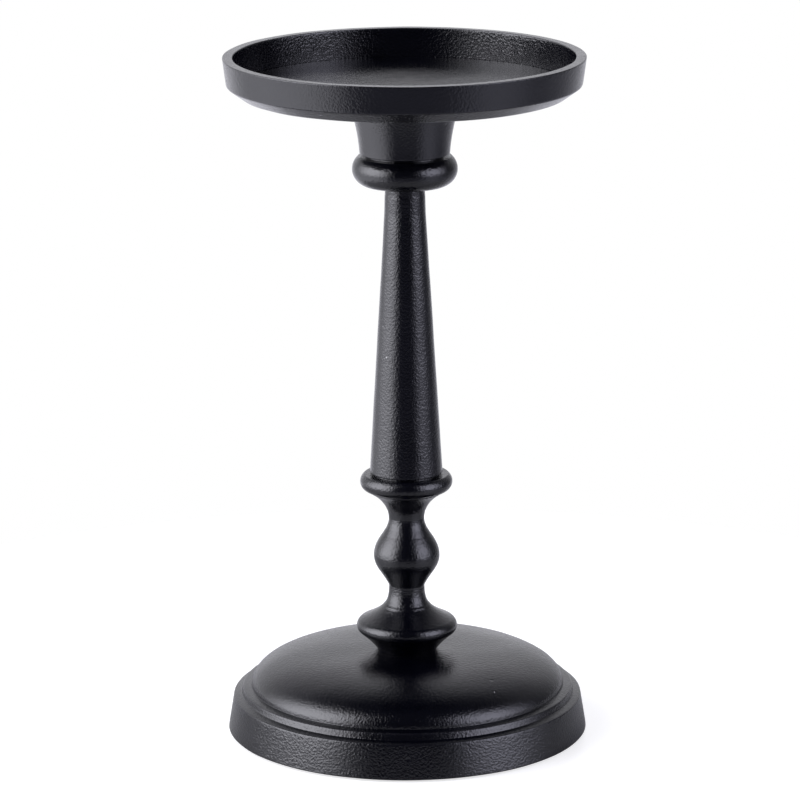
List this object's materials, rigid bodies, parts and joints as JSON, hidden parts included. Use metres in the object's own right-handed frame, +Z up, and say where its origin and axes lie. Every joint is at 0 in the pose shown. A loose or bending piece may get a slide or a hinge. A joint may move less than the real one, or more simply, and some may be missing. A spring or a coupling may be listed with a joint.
{
  "type": "pillar candle holder",
  "caption": "Tall pillar candle holder: shallow rimmed dish on a tapered column with turned beads and a vase, over a stepped dome base, in satin black cast metal.",
  "frame": {"origin": "on the surface it stands on, under the middle of the base", "axes": "+Z up along the column's axis; the holder is round about Z, with its feet on the diagonals between +X and +Y"},
  "size_m": [0.1316, 0.1316, 0.25],
  "materials": {
    "black_coat": "satin black powder coat over a fine cast texture",
    "zinc_steel": "bright zinc plating",
    "foot_rubber": "matte moulded rubber"
  },
  "bodies": {
    "root": {"base_dome": "black_coat", "pedestal": "black_coat", "vase": "black_coat", "lower_bead": "black_coat", "column": "black_coat", "neck_ring": "black_coat", "collar": "black_coat", "dish": "black_coat", "tie_rod": "zinc_steel", "flat_washer": "zinc_steel", "lock_washer": "zinc_steel", "clamp_nut": "zinc_steel", "foot_pads": "foot_rubber"}
  },
  "joints": []
}
